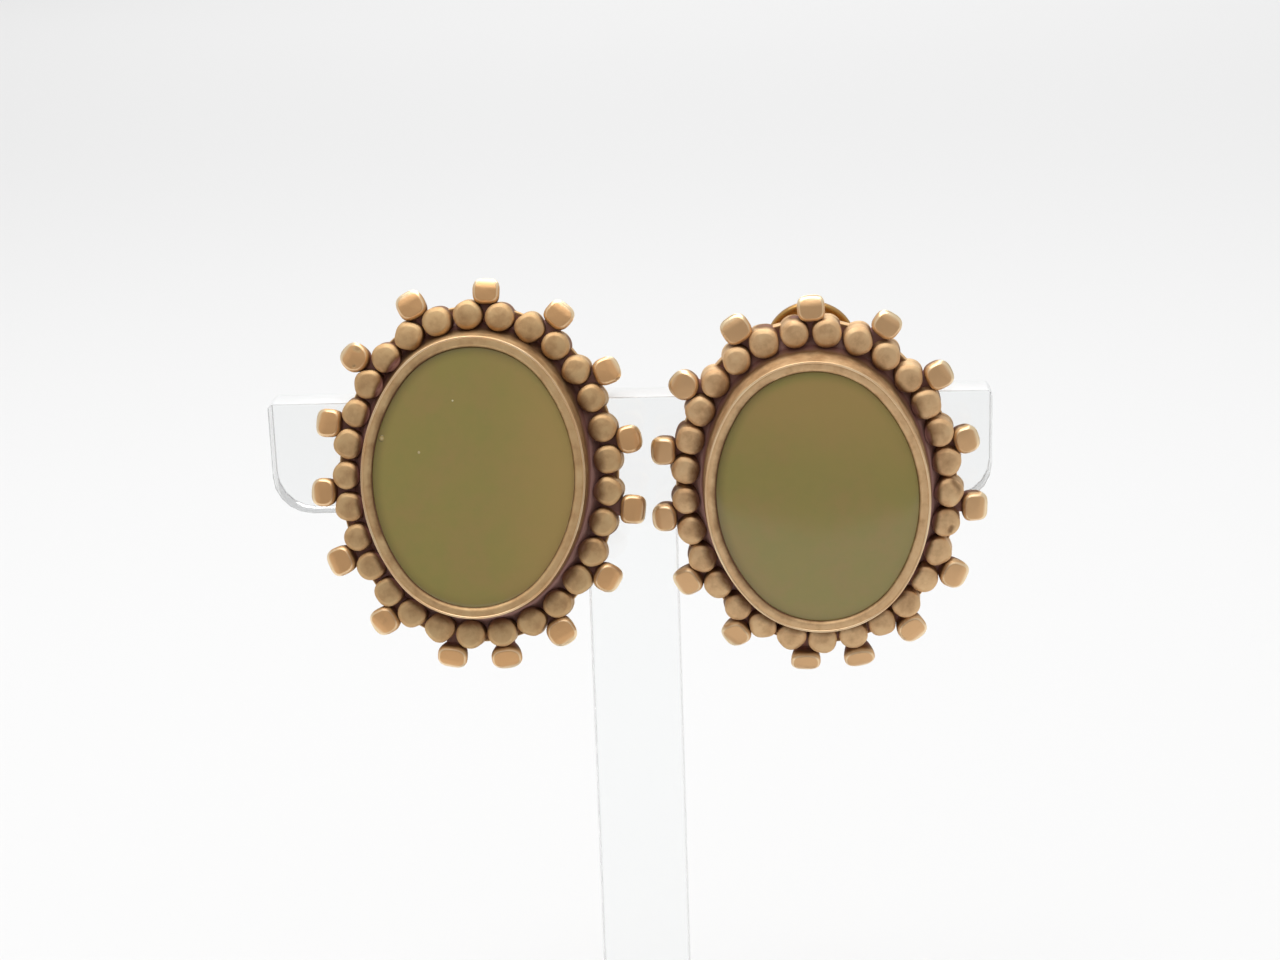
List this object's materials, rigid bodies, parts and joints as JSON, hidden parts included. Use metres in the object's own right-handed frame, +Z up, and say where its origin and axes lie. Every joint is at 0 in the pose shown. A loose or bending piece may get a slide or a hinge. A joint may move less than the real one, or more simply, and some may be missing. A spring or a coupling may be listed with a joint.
{
  "type": "pair of oval cabochon clip earrings on a clear t-bar display stand",
  "caption": "Oval green cabochon clip earrings ringed with round metal pegs, clipped on the crossbar of a clear acrylic display stand.",
  "frame": {"origin": "middle of the underside of the stand's foot", "axes": "+Z up along the post, +X along the crossbar to the viewer's right, and the earrings face -Y"},
  "size_m": [0.069, 0.044, 0.0958],
  "materials": {
    "clear_acrylic": "clear polished acrylic sheet",
    "gilt_metal": "satin antique gilding, dark in the hollows",
    "clip_metal": "plain worn gilding",
    "green_stone": "polished olive-green stone, faintly mottled"
  },
  "bodies": {
    "display": {"display_stand": "clear_acrylic", "left_setting": "gilt_metal", "left_stone": "green_stone", "left_clip_pin": "clip_metal", "right_setting": "gilt_metal", "right_stone": "green_stone", "right_clip_pin": "clip_metal"},
    "left_clip": {"left_clip_pad": "clip_metal"},
    "right_clip": {"right_clip_pad": "clip_metal"}
  },
  "joints": [
    {"name": "left_clip_hinge", "type": "hinge", "parent": "display", "child": "left_clip", "pos_m": [-0.01359, 0.00203, 0.07028], "axis": [-0.9999, 0.0033, 0.0154], "range_deg": [0, 80], "stiffness_Nm_per_rad": 0.012, "springref_deg": -74.48},
    {"name": "right_clip_hinge", "type": "hinge", "parent": "display", "child": "right_clip", "pos_m": [0.01889, 0.0048, 0.07027], "axis": [-0.9971, 0, -0.0767], "range_deg": [0, 80], "stiffness_Nm_per_rad": 0.012, "springref_deg": -74.48}
  ]
}
